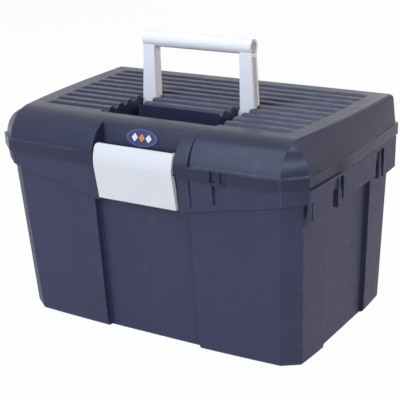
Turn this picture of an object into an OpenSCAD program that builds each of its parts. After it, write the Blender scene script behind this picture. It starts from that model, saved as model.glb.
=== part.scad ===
// Grooming box: a moulded case with a hinged, ribbed lid, a folding carry handle,
// a front latch and a lift-out tray. Millimetres, +Z up, front towards -Y,
// origin at the middle of the base.

/* [Case] */
// Length of the rim between its corner faces
rim_l = 393; // [380:1:420]
// Depth of the rim between its corner faces
rim_w = 256; // [250:1:280]
// Height of the case up to the seam with the lid
case_h = 201; // [195:1:230]
// How far the long sides swell outwards at their middle
front_bow = 4; // [3:0.5:6]
// How far the short sides swell outwards at their middle
side_bow = 3.5; // [2:0.5:5]
// Rim corner cut, measured along the length
rim_corner_l = 23.5; // [20:0.5:28]
// Rim corner cut, measured along the depth
rim_corner_w = 20; // [17:0.5:24]
// Wall corner cut, measured along the length
wall_corner_l = 19; // [15:0.5:22]
// Wall corner cut, measured along the depth
wall_corner_w = 14; // [11:0.5:17]
// Distance from the rim face in to the wall, at the seam
wall_inset = 9; // [8:0.25:10]
// How far the walls lean in between the seam and the base
wall_lean = 9; // [6:0.5:11]
// Wall thickness of the mouldings
wall = 2.8; // [2.4:0.1:3.2]
// Thickness of the case floor
floor_t = 3.2; // [2.5:0.1:4.5]
// Height of the lip that rises from the case wall into the lid
lip_h = 4; // [2:0.5:6]
// Rounding along the base
base_r = 5; // [3:0.5:6]

/* [Rim band] */
// Height of the band under the seam, at the corners
band_h = 16; // [12:0.5:20]
// Depth of the front apron under the seam, beside the latch
apron_h = 41; // [36:0.5:46]
// Distance from the rim face in to the band
band_inset = 2.5; // [2:0.1:4]

/* [Wall panels] */
// Length of the sunk panel between the front feet
front_panel_l = 124; // [116:1:150]
// Distance from the seam down to the top of the sunk front panel
front_panel_down = 43; // [41:1:60]
// Depth of the sunk front panel
front_panel_in = 8.5; // [7:0.5:10]
// Width of the sunk panel on each short side
side_panel_w = 103; // [80:1:120]
// Distance from the seam down to the shoulder of the sunk side panel, which carries the tray
side_panel_down = 25; // [21:1:35]
// Depth of the sunk side panel
side_panel_in = 6.5; // [5:0.5:8]

/* [Side skirts] */
// Depth of the two outer skirt plates under the seam
skirt_h = 37; // [30:0.5:40]
// Depth of the middle skirt plate under the seam
skirt_mid_h = 30; // [24:0.5:34]
// Thickness of the skirt plates
skirt_t = 2.5; // [2:0.1:3.5]
// Thickness of the ledge that carries the skirts
ledge_t = 3; // [2:0.1:4]
// Thickness of the upright ribs between the skirt plates
skirt_rib_t = 3.5; // [2:0.5:5]

/* [Lid] */
// Height of the lid above the seam
lid_h = 45.5; // [43:0.5:52]
// Height of the lid flange
flange_h = 14; // [12:0.5:16]
// Thickness of the lid flange
flange_t = 5; // [4.5:0.1:6]
// Width of the ledge between the flange face and the dome
flange_ledge = 3; // [2:0.25:4]
// Depth of the rounded front of the dome
dome_w = 36; // [34:0.5:40]
// How far the ends of the dome lean in
dome_lean = 5; // [4:0.5:8]
// How far the back of the dome leans in
dome_back_lean = 13; // [9:0.5:16]
// Rounding along the top edges of the dome
dome_r = 5; // [3:0.5:7]
// Step of the flange on each short side, ahead of its thick part
flange_step = 2.4; // [1:0.1:2.8]

/* [Lid ribs] */
// Number of ribs across the lid
rib_count = 9; // [5:1:9]
// Distance from one rib to the next
rib_pitch = 17.5; // [15:0.5:18]
// Height of the ribs
rib_h = 4; // [2:0.25:5]
// Distance from the side edges of the lid's top in to the ends of the ribs
rib_margin = 16.5; // [14:0.5:30]
// Distance of the middle rib behind the middle of the lid
rib_y = 8; // [6:0.5:10]

/* [Handle recess] */
// Length of the handle recess
recess_l = 149; // [147:0.5:156]
// Length of the ribbed island inside the recess
island_l = 105; // [98:0.5:107]
// Distance from the middle of the lid to the front of the recess
recess_front = 82; // [81:0.5:84]
// Distance from the middle of the lid to the front of the island
island_front = 41.5; // [30:0.5:48]
// Distance from the middle of the lid to the back of the recess
recess_back = 15.5; // [15:0.5:26]
// Depth of the recess below the top of the ribs
recess_h = 23.5; // [22.5:0.5:25]

/* [Carry handle] */
// Distance of the handle pivots behind the middle of the lid
pivot_y = 4.5; // [4:0.1:5]
// Distance of the handle pivots below the top of the ribs
pivot_down = 11.5; // [11:0.25:12]
// Length of the handle from the pivots to the middle of the grip
arm_l = 76; // [60:0.5:76.5]
// Backward lean of the raised handle, in degrees
handle_lean = 2; // [0:0.5:5]
// Length of the grip
grip_l = 141; // [136:0.5:144]
// Diameter of the grip
grip_d = 17.2; // [15:0.2:18]
// Diameter of the hole through the grip
grip_bore_d = 12.4; // [9:0.2:13]
// Width of an arm at its top
arm_top_l = 14; // [12:0.5:15]
// Width of an arm at its pivot
arm_foot_l = 18; // [16:0.5:19]
// Depth of an arm at its top
arm_top_w = 13; // [12:0.5:15]
// Depth of an arm at its pivot
arm_foot_w = 13.5; // [13:0.5:17]
// Depth of the groove in the outer face of an arm
arm_groove = 9; // [5:0.5:10]
// Diameter of the handle pivot pins
handle_pin_d = 5; // [4:0.25:6]

/* [Latch] */
// Length of the channel that holds the latch
channel_l = 105; // [102:0.5:110]
// Width of the raised cheek on each side of the channel
cheek_l = 15.8; // [12:0.2:17]
// Thickness of the walls that carry the latch pin
channel_wall = 5; // [4:0.5:6]
// Gap between the latch and each cheek
latch_gap = 2.5; // [1:0.25:3.5]
// Height of the top edge of the latch above the seam
latch_top_h = 24.5; // [23:0.25:26]
// Height of the crease of the latch above the seam
latch_crease_h = 2.4; // [1:0.2:5]
// Depth of the bottom edge of the latch below the seam
latch_bottom_h = 37.4; // [34:0.2:40]
// How far the crease stands out from the rim face
latch_proud = 1.8; // [1:0.1:3]
// How far the top edge lies behind the rim face
latch_top_in = 4.2; // [3.5:0.1:5]
// How far the bottom edge lies behind the rim face
latch_bottom_in = 4.5; // [4:0.1:5]
// Thickness of the latch
latch_t = 2.6; // [2.2:0.1:3]
// Rounding of the upper corners of the latch
latch_corner_r = 3.5; // [2:0.25:4]
// Diameter of the latch pin
latch_pin_d = 4; // [3:0.25:4.5]

/* [Lid hinges] */
// Distance between the middles of the two hinges
hinge_spacing = 220; // [160:1:260]
// Length of one hinge
hinge_l = 42; // [36:1:54]
// Diameter of the hinge knuckles
knuckle_d = 12; // [11:0.5:13]
// Diameter of the hinge pins
hinge_pin_d = 4; // [3:0.25:5]

/* [Lift-out tray] */
// Depth of the tray below its rim
tray_h = 52; // [35:1:70]
// Wall thickness of the tray
tray_t = 2.2; // [1.6:0.1:3]
// Height of the tray grip above the rim
tray_grip_h = 24; // [20:0.5:26]
// Length of the tray grip
tray_grip_l = 130; // [110:1:160]

/* [Badge] */
// Length of the oval badge
badge_l = 42; // [30:0.5:50]
// Height of the oval badge
badge_h = 20; // [14:0.5:22]
// Thickness of the badge
badge_t = 0.8; // [0.4:0.1:1.5]

/* [Hidden] */

// Colours of the mouldings
navy = "#45475e";
pale_grey = "#dcdee6";
steel = "#b9bcc0";
badge_blue = "#34386a";

// Shared clearances
overrun = 1;
seam_gap = 0.3;
rest_gap = 0.3;
pin_fit = 0.05;
joint_gap = 0.6;

// Smoothness of round parts and of the bowed outlines
round_fn = 48;
bow_steps = 10;
dome_steps = 12;
smile_steps = 12;
base_steps = 4;

// How much a corner cut shortens for each millimetre that an outline moves in
corner_thin_share = 2 - sqrt(2);
// How steeply the rim band leans in
band_lean_share = 0.1;
// How the ends of the dome curve in towards its front corners: 1 would be straight
end_power = 2.6;
// Share of the back corner cuts that is left at the top of the dome
back_top_share = 0.04;
// Lean of the dome's front where it leaves the flange, in degrees
dome_start = 10;
// Bend of the apron's lower edge: 1 would be straight
smile_power = 0.9;

// Levels
seam_z = case_h + seam_gap;
flange_z = case_h + flange_h;
top_z = case_h + lid_h;
groove_z = top_z - rib_h;
ceiling_z = groove_z - wall;
recess_z = top_z - recess_h;
pivot_z = top_z - pivot_down;

// Heights of the sunk panels
front_panel_h = case_h - front_panel_down;
side_panel_h = case_h - side_panel_down;

// Faces at the middle of the sides
face_y = rim_w / 2 + front_bow;
face_x = rim_l / 2 + side_bow;
panel_y = face_y - wall_inset - front_panel_in;
side_panel_x = face_x - wall_inset - side_panel_in;
dome_rise = top_z - flange_z;

// Handle values in its own upright frame, from the pivots up
arm_outer_foot = recess_l / 2 - joint_gap;
grip_over = 0.5;
arm_outer_top = grip_l / 2 - grip_over;
foot_over = 0.4;
tub_wall = 3.5;
boss_d = 13;
groove_wall = 3;

// Latch values
channel_half = channel_l / 2;
latch_half = channel_half - latch_gap;
latch_pivot_in = 9.5;
latch_pivot_drop = 6.5;
latch_pivot_y = -(panel_y + latch_pivot_in);
lid_panel_lean = 16;
latch_pivot_z = case_h + latch_top_h - latch_pivot_drop;
latch_swell = 2;
latch_boss_d = 10;
latch_boss_l = 9;
latch_lip_t = 2.4;
latch_notch = 1.2;
latch_crease_w = 1.2;
latch_crease_in = 0.5;
latch_steps = 8;

// Hinge values
knuckle_gap = 0.5;
case_knuckle_l = hinge_l / 4;
lid_knuckle_l = hinge_l - 2 * case_knuckle_l - 2 * knuckle_gap;
hinge_out = 2.5;
hinge_y = face_y + hinge_out;
hinge_z = case_h;

// Tray values
tray_gap = 1.5;
tray_rim_l = 8;
tray_rim_t = 2.6;
tray_lean = 4;
tray_fit = 0.2;
tray_z = side_panel_h + wall + rest_gap;
tray_floor_z = tray_z - tray_h;
tray_rim_z = tray_z + tray_rim_t;
tray_body_in = side_panel_in + 2 * tray_gap;

// Draws a list of points in the opposite order
function reversed(points) = [for (i = [len(points) - 1 : -1 : 0]) points[i]];

// Points from -1 to 1 along one side; a straight side needs only its ends
bow_shares = [for (i = [0 : bow_steps]) 2 * i / bow_steps - 1];
straight_shares = [-1, 1];

// A closed outline with cut corners, at one height. The bows are those of its front, ends and back,
// and the ends may draw in towards the front.
function outline(half_l, front, back, front_cut, back_cut, bows, z, shares = bow_shares, end_in = 0) =
    let (
        mid = (back - back_cut[1] - front + front_cut[1]) / 2,
        reach = (back - back_cut[1] + front - front_cut[1]) / 2,
        right = [for (s = shares)
            [half_l + bows[1] * (1 - s * s) - end_in * pow((1 - s) / 2, end_power), mid + s * reach, z]]
    )
    concat(
        [for (s = shares) [s * (half_l - front_cut[0]), -front - bows[0] * (1 - s * s), z]],
        right,
        [for (s = shares) [-s * (half_l - back_cut[0]), back + bows[2] * (1 - s * s), z]],
        [for (point = reversed(right)) [-point[0], point[1], z]]
    );

// The rim's outline, moved in by an inset
rim_bows = [front_bow, side_bow, front_bow];
function rim_ring(inset, z) =
    let (cut = [rim_corner_l, rim_corner_w] - inset * corner_thin_share * [1, 1])
    outline(rim_l / 2 - inset, rim_w / 2 - inset, rim_w / 2 - inset, cut, cut, rim_bows, z);

// Distance from the rim face to the leaning wall at one height
function wall_in(z) = wall_inset + wall_lean * (1 - z / case_h);

// The leaning wall's outline, moved in by a thickness
function wall_ring(thick, z) =
    let (
        inset = wall_in(z) + thick,
        cut = [wall_corner_l, wall_corner_w] - thick * corner_thin_share * [1, 1]
    )
    outline(rim_l / 2 - inset, rim_w / 2 - inset, rim_w / 2 - inset, cut, cut, rim_bows, z);

// The wall's outlines from the rounded base up to the top of the lip
wall_rings = concat(
    [for (i = [0 : base_steps])
        let (turn = 90 * i / base_steps)
        wall_ring(base_r * (1 - sin(turn)), base_r * (1 - cos(turn)))],
    [wall_ring(0, case_h + lip_h)]
);

// Distance from the middle of the box to the rim face at one place along the length
function rim_y(x) = rim_w / 2 + front_bow * (1 - pow(x / (rim_l / 2 - rim_corner_l), 2));

// How far the rounded top edge of the dome draws in at one height
function edge_in(z, top) =
    let (up = z - (top - dome_r))
    up <= 0 ? 0 : dome_r - sqrt(max(dome_r * dome_r - up * up, 0));

// Turns along the dome's rounded front, and how far up and back each one comes
dome_turns = [for (i = [0 : dome_steps]) dome_start + (90 - dome_start) * i / dome_steps];
function up_share(turn) = (sin(turn) - sin(dome_start)) / (1 - sin(dome_start));
function back_share(turn) = 1 - cos(turn) / cos(dome_start);

// One outline of the dome. The front follows part of an ellipse; its corner cuts close towards the top,
// where the ends curve in to meet the front, and the bows of the ends and the back fade out.
function dome_ring(thick, turn, top) =
    let (
        rise_share = up_share(turn),
        base_z = flange_z - thick,
        z = base_z + (top - base_z) * rise_share,
        inset = flange_ledge + thick,
        thin = inset * (1 - corner_thin_share),
        edge = edge_in(z, top),
        half_l = rim_l / 2 - inset - dome_lean * rise_share - edge,
        front = rim_w / 2 - inset - (dome_w - thick) * back_share(turn),
        flat_x = rim_l / 2 - rim_corner_l - thin,
        cut_w = max(front - rim_w / 2 + rim_corner_w + thin + dome_lean * rise_share, dome_r / bow_steps),
        knee_x = min(flat_x + cut_w * rim_corner_l / rim_corner_w, half_l),
        back_cut = [rim_corner_l, rim_corner_w] - inset * corner_thin_share * [1, 1]
    )
    outline(
        half_l, front, rim_w / 2 - inset - dome_back_lean * rise_share - edge,
        [half_l - flat_x, cut_w], back_cut * (1 - (1 - back_top_share) * rise_share),
        [front_bow, side_bow * (1 - rise_share), front_bow * (1 - rise_share)], z, bow_shares, half_l - knee_x
    );

// A solid through a stack of outlines
module loft(rings) {
    n = len(rings[0]);
    m = len(rings);
    polyhedron(
        points = [for (ring = rings) each ring],
        faces = concat(
            [[for (i = [0 : n - 1]) i]],
            [for (j = [0 : m - 2], i = [0 : n - 1])
                [j * n + i, (j + 1) * n + i, (j + 1) * n + (i + 1) % n]],
            [for (j = [0 : m - 2], i = [0 : n - 1])
                [j * n + i, (j + 1) * n + (i + 1) % n, j * n + (i + 1) % n]],
            [[for (i = [n - 1 : -1 : 0]) (m - 1) * n + i]]
        )
    );
}

// Extrudes a profile drawn in Y and Z along the length, centred
module along_length(length) {
    rotate([90, 0, 90])
        linear_extrude(length, center = true)
            children();
}

// A box given by its lowest and highest corners
module block(low, high) {
    translate(low)
        cube(high - low);
}

// A round bar along the length, centred on x
module bar(d, length, x, y, z) {
    translate([x, y, z])
        rotate([0, 90, 0])
            cylinder(d = d, h = length, center = true, $fn = round_fn);
}

// The child and its copy on the other end
module both_ends() {
    children();
    mirror([1, 0, 0])
        children();
}

// The space sunk into the front and back walls, grown by a thickness
module long_panels(thick) {
    low = panel_y - wall_lean - thick;
    for (turn = [0, 180])
        rotate([0, 0, turn])
            along_length(front_panel_l + 2 * thick)
                polygon([
                    [-face_y, -overrun],
                    [-low + wall_lean * -overrun / case_h, -overrun],
                    [-low - wall_lean * (front_panel_h + thick) / case_h, front_panel_h + thick],
                    [-face_y, front_panel_h + thick]
                ]);
}

// The space sunk into the short walls, grown by a thickness
module side_panels(thick) {
    low = side_panel_x - wall_lean - thick;
    both_ends()
        rotate([90, 0, 0])
            linear_extrude(side_panel_w + 2 * thick, center = true)
                polygon([
                    [face_x, -overrun],
                    [low, -overrun],
                    [low + wall_lean * (side_panel_h + thick) / case_h, side_panel_h + thick],
                    [face_x, side_panel_h + thick]
                ]);
}

// The part of the latch channel that runs down the case, grown by a thickness
module case_channel(thick) {
    high = case_h + lip_h + 2 * overrun;
    low = panel_y - wall_lean - thick;
    along_length(channel_l + 2 * thick)
        polygon([
            [-face_y - overrun, front_panel_h - overrun],
            [-low - wall_lean * (front_panel_h - overrun) / case_h, front_panel_h - overrun],
            [-low - wall_lean * high / case_h, high],
            [-face_y - overrun, high]
        ]);
}

// The inside of the case, which keeps clear of the sunk panels
module case_hollow() {
    high = case_h + lip_h + overrun;
    difference() {
        loft([wall_ring(wall, floor_t), wall_ring(wall, high)]);
        long_panels(wall);
        side_panels(wall);
        case_channel(wall);
    }
}

// Lower edge of the front apron at one place along the length
function smile_z(x, reach) =
    case_h - apron_h + (apron_h - band_h) * pow((x - channel_half) / (reach - channel_half), smile_power);

// The band under the seam, with an apron that deepens towards the latch
module rim_band() {
    reach = rim_l / 2 - rim_corner_l;
    low = case_h - apron_h;
    intersection() {
        loft([rim_ring(band_inset + apron_h * band_lean_share, low), rim_ring(band_inset, case_h)]);
        union() {
            block([-rim_l, -rim_w, case_h - band_h], [rim_l, rim_w, case_h]);
            both_ends()
                rotate([90, 0, 0])
                    linear_extrude(rim_w)
                        polygon(concat(
                            [[channel_half, case_h]],
                            [for (i = [0 : smile_steps])
                                let (x = channel_half + (reach - channel_half) * i / smile_steps)
                                [x, smile_z(x, reach)]],
                            [[reach, case_h]]
                        ));
        }
    }
}

// Places of the skirt plates and ribs along a short side, from the front
skirt_end = rim_w / 2 - rim_corner_w;
skirt_front_shares = [-1, -0.575];
skirt_mid_shares = [-0.357, 0.389];
skirt_back_shares = [0.602, 0.954];
skirt_rib_shares = [-0.444, 0.51];
skirt_front = skirt_end * skirt_front_shares;
skirt_mid = skirt_end * skirt_mid_shares;
skirt_back = skirt_end * skirt_back_shares;
skirt_slot = [-skirt_end + skirt_t, -skirt_end + 2 * skirt_t];

// The slice of a short side between two places, down to a depth under the seam
module side_slice(span, depth) {
    block([rim_l / 2 - 3 * wall_inset, span[0], case_h - depth], [rim_l, span[1], case_h]);
}

// Ledge, hanging plates and upright ribs on the right end; a plate is its front, its back and its depth
module skirt_side(plates, rib_places) {
    low = case_h - skirt_h - overrun;
    intersection() {
        difference() {
            loft([rim_ring(skirt_t / 2, low), rim_ring(0, case_h)]);
            loft([rim_ring(skirt_t * 3 / 2, low - overrun), rim_ring(skirt_t, case_h - ledge_t)]);
        }
        union() {
            side_slice([plates[0][0], skirt_back[1]], ledge_t);
            for (plate = plates)
                side_slice([plate[0], plate[1]], plate[2]);
        }
    }
    intersection() {
        loft([rim_ring(skirt_t, low), rim_ring(skirt_t / 2, case_h)]);
        for (y = rib_places)
            side_slice([y, y + skirt_rib_t], skirt_h);
    }
}

// The right end has three plates; the left end goes without the front one
module side_skirts() {
    front_plate = [skirt_front[0], skirt_front[1], skirt_h];
    mid_plate = [skirt_mid[0], skirt_mid[1], skirt_mid_h];
    back_plate = [skirt_back[0], skirt_back[1], skirt_h];
    rib_places = skirt_end * skirt_rib_shares;
    skirt_side([front_plate, mid_plate, back_plate], rib_places);
    mirror([1, 0, 0])
        skirt_side([mid_plate, back_plate], [rib_places[1]]);
}

// The small slot moulded into the front end of the right skirt
module skirt_slot_cut() {
    block(
        [face_x - wall_inset, skirt_slot[0], case_h - skirt_h + 2 * skirt_t],
        [face_x + overrun, skirt_slot[1], case_h - band_h + skirt_t]
    );
}

// A narrow groove in the apron beside the right cheek, and a scoop under the lug that fades out to the right
slit_l = 1.4;
slit_in = 4;
slit_down = 31;
scoop_l = 10;
scoop_in = 4.5;
scoop_down = 25;
module apron_slits() {
    cheek_x = channel_half + cheek_l;
    scoop_x = lug_x - lug_l / 2;
    scoop_y = -rim_y(scoop_x) + band_inset;
    block(
        [cheek_x - slit_l, -face_y, case_h - slit_down],
        [cheek_x, -rim_y(cheek_x) + band_inset + slit_in, case_h - slit_l]
    );
    translate([scoop_x, 0, case_h - scoop_down])
        linear_extrude(scoop_down - slit_l)
            polygon([
                [0, -face_y],
                [scoop_l, -face_y],
                [scoop_l, scoop_y],
                [0, scoop_y + scoop_in]
            ]);
}

// The ridge that the latch snaps over
catch_l = 70;
catch_z = case_h - latch_bottom_h + 2 * latch_lip_t + joint_gap;
catch_h = 6;
latch_inner_bottom_y = -face_y + latch_bottom_in + latch_t;
latch_lip_y = latch_inner_bottom_y + 2 * latch_lip_t;
module catch_ridge() {
    along_length(catch_l)
        polygon([
            [-panel_y + wall, catch_z],
            [latch_lip_y + rest_gap, catch_z],
            [latch_lip_y + rest_gap, catch_z + catch_h / 3],
            [-panel_y + wall, catch_z + 2 * catch_h]
        ]);
}

// Middles of the knuckles that each hinge has on the case
case_knuckle_x = hinge_l / 2 - case_knuckle_l / 2;

// Knuckles on the case, each on a web that runs down to the band
module case_knuckles() {
    web_y = rim_w / 2 - wall_inset;
    for (end = [-1, 1], side = [-1, 1]) {
        x = end * hinge_spacing / 2 + side * case_knuckle_x;
        bar(knuckle_d, case_knuckle_l, x, hinge_y, hinge_z);
        translate([x, 0, 0])
            along_length(case_knuckle_l)
                polygon([
                    [web_y, case_h],
                    [hinge_y, case_h],
                    [hinge_y + knuckle_d / 2, hinge_z],
                    [hinge_y + knuckle_d / 2 - hinge_out, hinge_z - knuckle_d / 2],
                    [rim_y(x), case_h - band_h],
                    [web_y, case_h - band_h]
                ]);
    }
}

// Room that the lid knuckles need in the case
module lid_knuckle_room() {
    for (end = [-1, 1])
        bar(
            knuckle_d + 2 * joint_gap, lid_knuckle_l + 2 * knuckle_gap,
            end * hinge_spacing / 2, hinge_y, hinge_z
        );
}

// Room that the case knuckles need in the lid
module case_knuckle_room() {
    for (end = [-1, 1], side = [-1, 1])
        bar(
            knuckle_d + 2 * joint_gap, case_knuckle_l + 2 * knuckle_gap,
            end * hinge_spacing / 2 + side * case_knuckle_x, hinge_y, hinge_z
        );
}

// Bores for both hinge pins
module hinge_bores() {
    for (end = [-1, 1])
        bar(hinge_pin_d + 2 * pin_fit, hinge_l + 2 * overrun, end * hinge_spacing / 2, hinge_y, hinge_z);
}

// The lip makes way for the walls of the latch channel in the lid
module lip_gap() {
    half = channel_half + channel_wall + tray_gap;
    block([-half, -face_y, case_h], [half, -panel_y + 2 * wall_inset, case_h + lip_h + overrun]);
}

module case_shell() {
    color(navy)
        difference() {
            union() {
                difference() {
                    union() {
                        difference() {
                            loft(wall_rings);
                            long_panels(0);
                            side_panels(0);
                        }
                        rim_band();
                        side_skirts();
                        case_knuckles();
                    }
                    case_hollow();
                    case_channel(0);
                }
                catch_ridge();
            }
            lip_gap();
            skirt_slot_cut();
            apron_slits();
            lid_knuckle_room();
            hinge_bores();
        }
}

// Padlock lug on the lid flange: the pocket it stands in, its upright boss and its tab below the seam
lug_x = 103.7;
lug_l = 19;
lug_in = 2.2;
lug_boss_d = 5;
lug_tab_l = 21;
lug_drop = 3.5;
lug_t = 1.9;

// Profile of the sunk front of the lid, moved in by a thickness: upright behind the latch, then leaning back,
// and rounded where it comes out into the dome
panel_foot_z = latch_pivot_z;
panel_high_z = top_z + overrun;
panel_edge_r = 5;
panel_edge_turn = 60;
panel_edge_down = 2.2;
panel_edge_steps = 5;
function lid_panel_y(z) = panel_y - (z - panel_foot_z) * tan(lid_panel_lean);
module channel_profile(thick, low) {
    edge_z = top_z - panel_edge_down - panel_edge_r * sin(panel_edge_turn);
    edge_y = lid_panel_y(edge_z + panel_edge_r * sin(lid_panel_lean)) - panel_edge_r * cos(lid_panel_lean);
    edge = [for (i = [0 : panel_edge_steps])
        let (turn = lid_panel_lean + (panel_edge_turn - lid_panel_lean) * i / panel_edge_steps)
        [thick - edge_y - panel_edge_r * cos(turn), edge_z + panel_edge_r * sin(turn)]];
    last = edge[panel_edge_steps];
    polygon(concat(
        [
            [-face_y - 2 * overrun, low],
            [-panel_y + thick, low],
            [-panel_y + thick, panel_foot_z]
        ],
        edge,
        [
            [last[0] + (panel_high_z - last[1]) * tan(panel_edge_turn), panel_high_z],
            [-face_y - 2 * overrun, panel_high_z]
        ]
    ));
}

// Raised cheeks that carry the flange face up over the dome
module cheeks() {
    cheek_y = rim_y(channel_half);
    reach = dome_w + flange_ledge;
    both_ends()
        translate([channel_half + cheek_l / 2, 0, 0])
            along_length(cheek_l)
                polygon(concat(
                    [[-panel_y, seam_z], [-cheek_y, seam_z]],
                    [for (turn = dome_turns)
                        [-cheek_y + reach * back_share(turn), flange_z + dome_rise * up_share(turn)]],
                    [[-cheek_y + reach, ceiling_z], [-panel_y, flange_z]]
                ));
}

// The padlock lug: an upright boss in the pocket, and a rounded tab below it
module lug() {
    tab_r = (lug_tab_l * lug_tab_l / 4 + lug_drop * lug_drop) / (2 * lug_drop);
    translate([lug_x, -rim_y(lug_x) + lug_in, seam_z]) {
        intersection() {
            translate([0, 0, tab_r - lug_drop])
                rotate([90, 0, 0])
                    cylinder(r = tab_r, h = lug_t, $fn = round_fn);
            block([-lug_l, -lug_in, -lug_l], [lug_l, lug_in, overrun]);
        }
        difference() {
            cylinder(d = lug_boss_d, h = flange_h - seam_gap - overrun, $fn = round_fn);
            block([-lug_l, (flange_t - lug_in) / 2, -overrun], [lug_l, lug_boss_d, flange_h]);
        }
    }
}

// The notch in the flange around the lug
module lug_notch() {
    y = -rim_y(lug_x);
    block([lug_x - lug_l / 2, y - overrun, case_h], [lug_x + lug_l / 2, y + lug_in, flange_z - overrun]);
}

// The U-shaped handle recess as an outline seen from above, grown by a thickness
module recess_outline(grow) {
    difference() {
        translate([-recess_l / 2 - grow, -recess_front - grow])
            square([recess_l + 2 * grow, recess_front + recess_back + 2 * grow]);
        translate([-island_l / 2 + grow, -island_front + grow])
            square([island_l - 2 * grow, island_front + 2 * recess_back]);
    }
}

// Half the length of a rib or groove at one place: it keeps a margin to the curved side edge of the lid's top
function rib_reach(y) =
    let (
        top_l = rim_l / 2 - flange_ledge - dome_lean - dome_r,
        corner_l = rim_l / 2 - rim_corner_l - flange_ledge * (1 - corner_thin_share),
        front = rim_w / 2 - flange_ledge - dome_w,
        back = rim_w / 2 - flange_ledge - dome_back_lean - dome_r
    )
    top_l - (top_l - corner_l) * pow((back - y) / (back + front), end_power) - rib_margin;

// The hollows on the ribs' undersides, and the grooves that leave the ribs standing
groove_floor_share = 0.28;
groove_mouth_share = 0.64;
hollow_foot_share = 0.46;
hollow_top_share = 0.14;
rib_taper = 6;
module rib_hollows() {
    first = rib_y - rib_pitch * (rib_count - 1) / 2;
    for (i = [0 : rib_count - 1])
        let (y = first + rib_pitch * i)
        translate([0, y, ceiling_z])
            along_length(2 * (rib_reach(y) - rib_taper - wall))
                polygon([
                    [-rib_pitch * hollow_foot_share / 2, -overrun],
                    [rib_pitch * hollow_foot_share / 2, -overrun],
                    [rib_pitch * hollow_foot_share / 2, 0],
                    [rib_pitch * hollow_top_share / 2, rib_h],
                    [-rib_pitch * hollow_top_share / 2, rib_h],
                    [-rib_pitch * hollow_foot_share / 2, 0]
                ]);
}

// A slice across a groove whose floor lies at one height; its walls slope on past the rib tops
function groove_ring(x, y, floor_h) =
    let (
        high = rib_h + overrun,
        spread_share = (groove_mouth_share - groove_floor_share) * rib_pitch / rib_h,
        low_w = groove_floor_share * rib_pitch + spread_share * floor_h,
        high_w = groove_floor_share * rib_pitch + spread_share * high
    )
    [
        [x, y - low_w / 2, groove_z + floor_h], [x, y + low_w / 2, groove_z + floor_h],
        [x, y + high_w / 2, groove_z + high], [x, y - high_w / 2, groove_z + high]
    ];

// Each groove runs out to the top of the ribs at both ends
module rib_grooves() {
    first = rib_y - rib_pitch * rib_count / 2;
    out_h = rib_h + overrun / 2;
    for (i = [0 : rib_count])
        let (y = first + rib_pitch * i, reach = rib_reach(y))
        loft([
            groove_ring(-reach, y, out_h), groove_ring(rib_taper - reach, y, 0),
            groove_ring(reach - rib_taper, y, 0), groove_ring(reach, y, out_h)
        ]);
}

// The outer form of the lid: flange, dome and cheeks
module lid_form() {
    loft([rim_ring(0, seam_z), rim_ring(0, flange_z)]);
    loft([for (turn = dome_turns) dome_ring(0, turn, top_z)]);
    cheeks();
}

// The hollow inside the lid
module lid_hollow() {
    loft([rim_ring(flange_t, case_h - overrun), rim_ring(flange_t, flange_z - wall)]);
    loft([for (turn = dome_turns) dome_ring(wall, turn, ceiling_z)]);
    rib_hollows();
}

// The flange is thinner ahead of a ramp on each short side
step_ramp = 7;
module flange_steps() {
    both_ends()
        intersection() {
            difference() {
                loft([rim_ring(-overrun, case_h - overrun), rim_ring(-overrun, flange_z - overrun)]);
                loft([rim_ring(flange_step, case_h - 2 * overrun), rim_ring(flange_step, flange_z)]);
            }
            translate([0, 0, case_h - overrun])
                linear_extrude(flange_h + overrun)
                    polygon([
                        [rim_l / 2 - wall_inset, skirt_front[0]],
                        [face_x + 2 * overrun, skirt_front[0]],
                        [face_x + 2 * overrun, skirt_mid[0]],
                        [face_x, skirt_mid[0]],
                        [face_x - flange_step - overrun, skirt_mid[0] - step_ramp],
                        [rim_l / 2 - wall_inset, skirt_mid[0] - step_ramp]
                    ]);
        }
}

// Knuckles on the lid, each on a web to the flange
module lid_knuckles() {
    for (end = [-1, 1]) {
        x = end * hinge_spacing / 2;
        bar(knuckle_d, lid_knuckle_l, x, hinge_y, hinge_z);
        translate([x, 0, 0])
            along_length(lid_knuckle_l)
                polygon([
                    [rim_w / 2 - flange_t / 2, seam_z],
                    [hinge_y, seam_z],
                    [hinge_y + knuckle_d / 2 - hinge_out, hinge_z + knuckle_d / 2 - hinge_out],
                    [rim_y(x), flange_z - overrun],
                    [rim_w / 2 - flange_t / 2, flange_z - overrun]
                ]);
    }
}

module lid_shell() {
    color(navy)
        difference() {
            union() {
                difference() {
                    union() {
                        difference() {
                            lid_form();
                            lid_hollow();
                        }
                        intersection() {
                            lid_form();
                            union() {
                                translate([0, 0, recess_z - wall])
                                    linear_extrude(top_z - recess_z + wall)
                                        recess_outline(tub_wall);
                                along_length(channel_l + 2 * channel_wall)
                                    channel_profile(wall, seam_z);
                            }
                        }
                    }
                    translate([0, 0, recess_z])
                        linear_extrude(recess_h + overrun)
                            recess_outline(0);
                    along_length(channel_l)
                        channel_profile(0, case_h - overrun);
                    rib_grooves();
                    flange_steps();
                    lug_notch();
                }
                lug();
                lid_knuckles();
            }
            case_knuckle_room();
            hinge_bores();
            bar(
                latch_pin_d + 2 * pin_fit, channel_l + 2 * channel_wall + 2 * overrun,
                0, latch_pivot_y, latch_pivot_z
            );
            for (end = [-1, 1])
                bar(
                    handle_pin_d + 2 * pin_fit, (recess_l - island_l) / 2 + 2 * tub_wall + 2 * overrun,
                    end * (recess_l + island_l) / 4, pivot_y, pivot_z
                );
        }
}

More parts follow.
